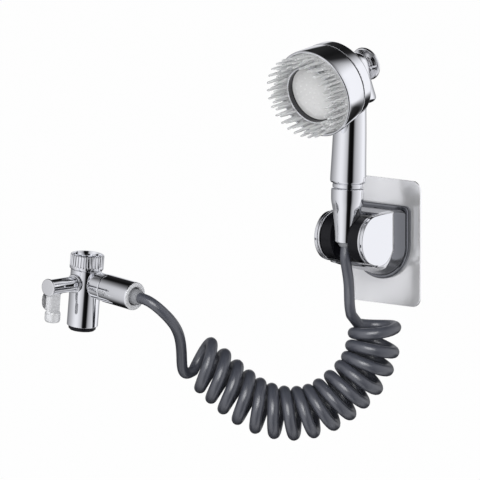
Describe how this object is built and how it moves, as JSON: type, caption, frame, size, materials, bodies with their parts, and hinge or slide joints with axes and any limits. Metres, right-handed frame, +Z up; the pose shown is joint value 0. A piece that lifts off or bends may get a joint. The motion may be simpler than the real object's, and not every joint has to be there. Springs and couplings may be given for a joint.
{
  "type": "handheld pet bath sprayer kit",
  "caption": "Chrome handheld pet bath sprayer with a bristle-ringed spray face, tilting wall holder, coiled grey hose and diverter valve with lever.",
  "frame": {"origin": "middle of the wall plate's back face", "axes": "+Y into the wall, +Z up, +X along the wall; the spray face looks towards -Y"},
  "size_m": [0.2115, 0.2209, 0.318],
  "materials": {
    "foam_tape": "white foam adhesive pad",
    "steel": "bright stainless steel",
    "plated_plastic": "chrome-plated ABS, mirror bright",
    "plated_brass": "chrome-plated brass, mirror bright",
    "black_steel": "black oxide",
    "black_plastic": "semi-gloss black",
    "seal_rubber": "matte black",
    "clear_silicone": "translucent soft silicone",
    "white_plastic": "white moulded plastic",
    "grey_plastic": "light grey moulded plastic",
    "hose_tube": "smooth slate grey, satin",
    "brass": "turned brass"
  },
  "bodies": {
    "wall_holder": {"adhesive_pad": "foam_tape", "wall_plate": "steel", "mount_stud": "steel", "base_flange": "plated_plastic", "stud_nut": "steel", "holder_body": "plated_plastic", "grub_screw": "black_steel", "end_cap_left": "plated_plastic", "end_cap_right": "plated_plastic", "friction_washers": "seal_rubber", "diverter_body": "plated_brass", "bonnet_nut": "plated_brass", "aerator_housing": "black_plastic", "aerator_screen": "grey_plastic", "inlet_washer": "seal_rubber", "inlet_screen": "steel", "outlet_washer": "seal_rubber", "hose_tail_piece": "brass", "hose_collar": "grey_plastic", "hose_tail_diverter": "hose_tube", "hose_coil": "hose_tube"},
    "cradle": {"cradle_barrel": "black_plastic", "pivot_pins": "steel"},
    "handset": {"front_ring": "plated_plastic", "brush_ring": "clear_silicone", "recess_ring": "plated_plastic", "spray_plate": "white_plastic", "face_seal": "seal_rubber", "face_carrier": "white_plastic", "diffuser": "white_plastic", "rear_housing": "plated_plastic", "neck_seal": "seal_rubber", "handle_shell": "plated_plastic", "handle_core": "white_plastic", "handle_nipple": "plated_plastic", "flow_restrictor": "white_plastic", "valve_body": "white_plastic", "stop_spring": "steel", "nut_washer": "seal_rubber", "hose_end_fitting": "brass", "hose_ferrule": "grey_plastic", "hose_tail_handset": "hose_tube"},
    "hose_nut": {"cone_nut": "plated_plastic"},
    "spray_button": {"stop_button": "plated_plastic", "stop_stem": "brass", "valve_seal": "seal_rubber"},
    "diverter_lever": {"valve_plug": "brass", "lever_shaft": "brass", "shaft_o_ring": "seal_rubber", "lever_arm": "plated_brass", "lever_cap": "plated_brass"},
    "supply_nut": {"inlet_nut": "plated_brass"},
    "outlet_nut": {"coupling_nut": "plated_brass"}
  },
  "joints": [
    {"name": "cradle_tilt", "type": "hinge", "parent": "wall_holder", "child": "cradle", "pos_m": [0, -0.037, 0.006], "axis": [1, 0, 0], "range_deg": [-6, 20], "deforming": ["hose_tail_handset"]},
    {"name": "handset_lift", "type": "slide", "parent": "cradle", "child": "handset", "axis": [0, 0.0523, 0.9986], "range_m": [0, 0.05], "deforming": ["hose_tail_handset"]},
    {"name": "nut_spin", "type": "hinge", "parent": "handset", "child": "hose_nut", "pos_m": [0, -0.047, 0.006], "axis": [0, 0.0523, 0.9986], "continuous": true},
    {"name": "button_press", "type": "slide", "parent": "handset", "child": "spray_button", "axis": [0, -0.9659, -0.2588], "range_m": [0, 0.003], "stiffness_N_per_m": 600, "springref_m": -0.006, "deforming": ["stop_spring"]},
    {"name": "lever_turn", "type": "hinge", "parent": "wall_holder", "child": "diverter_lever", "pos_m": [-0.1572, -0.1778, -0.028], "axis": [-0.0698, -0.9976, 0], "range_deg": [-90, 0]},
    {"name": "supply_nut_spin", "type": "hinge", "parent": "wall_holder", "child": "supply_nut", "pos_m": [-0.1572, -0.1778, -0.028], "axis": [0.1043, -0.0073, 0.9945], "continuous": true},
    {"name": "outlet_nut_spin", "type": "hinge", "parent": "wall_holder", "child": "outlet_nut", "pos_m": [-0.1572, -0.1778, -0.028], "axis": [0.9921, -0.0694, -0.1045], "continuous": true}
  ]
}
